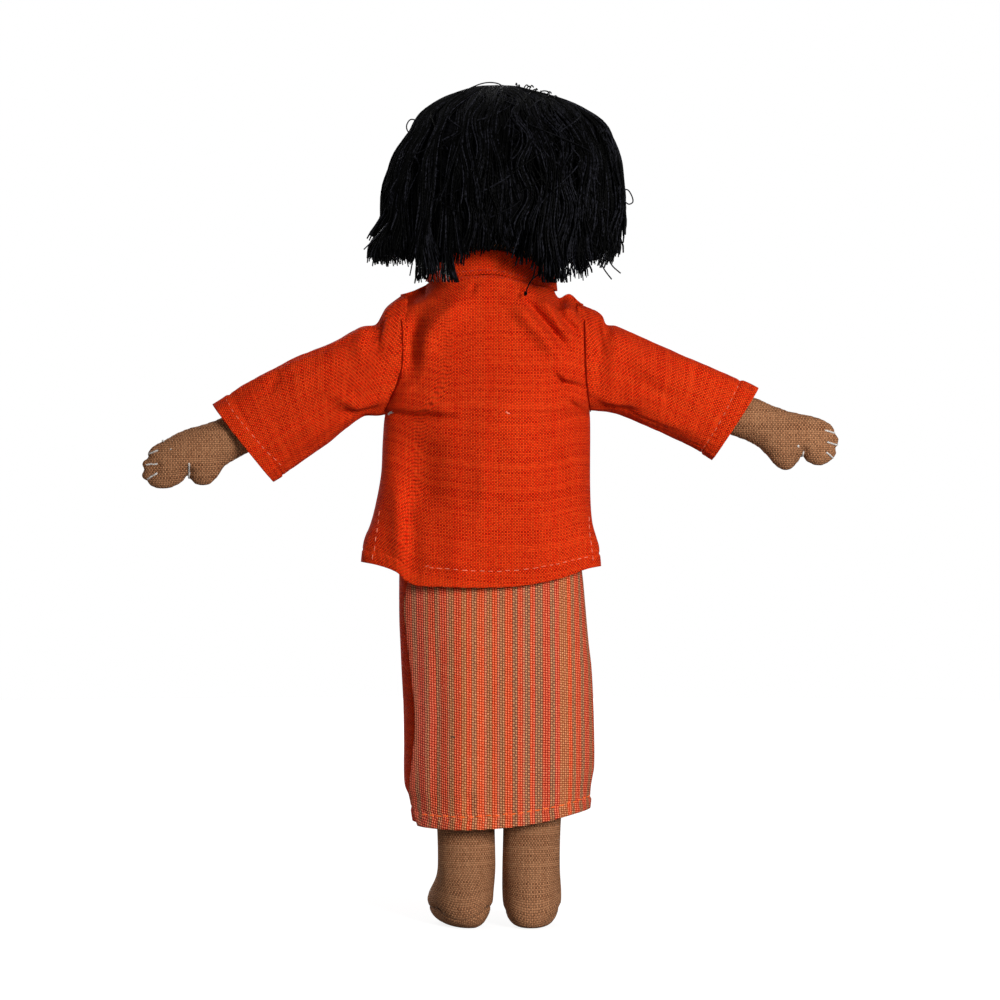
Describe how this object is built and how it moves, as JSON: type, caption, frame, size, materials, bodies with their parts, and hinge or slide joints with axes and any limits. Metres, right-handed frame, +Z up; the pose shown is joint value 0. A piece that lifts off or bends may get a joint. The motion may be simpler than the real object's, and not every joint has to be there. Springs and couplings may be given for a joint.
{
  "type": "cloth doll",
  "caption": "Sewn cloth doll with bobbed thread hair, an orange tunic with a band collar and side slits, and a wrapped skirt with a striped back; its head, arms and legs move at their seams.",
  "frame": {"origin": "on the floor between the feet, at the middle of the standing doll's bounding box", "axes": "+Z up the standing doll, the doll faces -Y, +X towards its own left hand"},
  "size_m": [0.2523, 0.0738, 0.303],
  "materials": {
    "brown_cotton": "matte plain-woven cotton with a visible thread",
    "stuffing": "loose fibre fill",
    "orange_cotton": "matte plain-woven cotton, slightly shot with a lighter thread",
    "striped_cotton": "handwoven cotton with narrow stripes along its length",
    "black_thread": "fine thread with a low sheen",
    "red_thread": "embroidery thread",
    "brown_thread": "embroidery thread",
    "button_plastic": "small moulded button"
  },
  "bodies": {
    "torso": {"torso": "brown_cotton", "torso_stuffing": "stuffing", "shirt_back": "orange_cotton", "shirt_front": "orange_cotton", "placket": "orange_cotton", "button_top": "button_plastic", "button_middle": "button_plastic", "button_bottom": "button_plastic", "collar": "orange_cotton", "waistband": "orange_cotton"},
    "neck": {"neck": "brown_cotton"},
    "head": {"head": "brown_cotton", "head_stuffing": "stuffing", "left_eye": "black_thread", "right_eye": "black_thread", "left_eyebrow": "black_thread", "right_eyebrow": "black_thread", "nose": "brown_thread", "mouth": "red_thread", "hair_back": "black_thread", "hair_left": "black_thread", "hair_right": "black_thread", "hair_fringe": "black_thread", "hair_crown": "black_thread"},
    "left_arm": {"left_arm": "brown_cotton", "left_arm_stuffing": "stuffing", "left_sleeve": "orange_cotton"},
    "right_arm": {"right_arm": "brown_cotton", "right_arm_stuffing": "stuffing", "right_sleeve": "orange_cotton"},
    "skirt": {"skirt_back": "striped_cotton", "skirt_front": "orange_cotton"},
    "left_leg": {"left_leg": "brown_cotton", "left_leg_stuffing": "stuffing", "left_sole": "brown_cotton"},
    "right_leg": {"right_leg": "brown_cotton", "right_leg_stuffing": "stuffing", "right_sole": "brown_cotton"}
  },
  "joints": [
    {"name": "neck_turn", "type": "hinge", "parent": "torso", "child": "neck", "pos_m": [0.0005, 0, 0.2298], "axis": [0, 0, 1], "range_deg": [-25, 25]},
    {"name": "head_nod", "type": "hinge", "parent": "neck", "child": "head", "pos_m": [0, 0, 0.245], "axis": [1, 0, 0], "range_deg": [-4, 9]},
    {"name": "left_arm_lift", "type": "hinge", "parent": "torso", "child": "left_arm", "pos_m": [0.041, 0, 0.202], "axis": [0, -1, 0], "range_deg": [-26, 45], "deforming": ["left_sleeve"]},
    {"name": "right_arm_lift", "type": "hinge", "parent": "torso", "child": "right_arm", "pos_m": [-0.038, 0, 0.202], "axis": [0, 1, 0], "range_deg": [-26, 45], "deforming": ["right_sleeve"]},
    {"name": "hip_fold", "type": "hinge", "parent": "torso", "child": "skirt", "pos_m": [-0.0014, 0, 0.1277], "axis": [-1, 0, 0], "range_deg": [0, 90], "deforming": ["skirt_back", "skirt_front", "shirt_front", "placket"]},
    {"name": "left_leg_swing", "type": "hinge", "parent": "skirt", "child": "left_leg", "pos_m": [-0.0014, 0, 0.1277], "axis": [-1, 0, 0], "range_deg": [-4, 5]},
    {"name": "right_leg_swing", "type": "hinge", "parent": "skirt", "child": "right_leg", "pos_m": [-0.0014, 0, 0.1277], "axis": [-1, 0, 0], "range_deg": [-4, 5]}
  ]
}
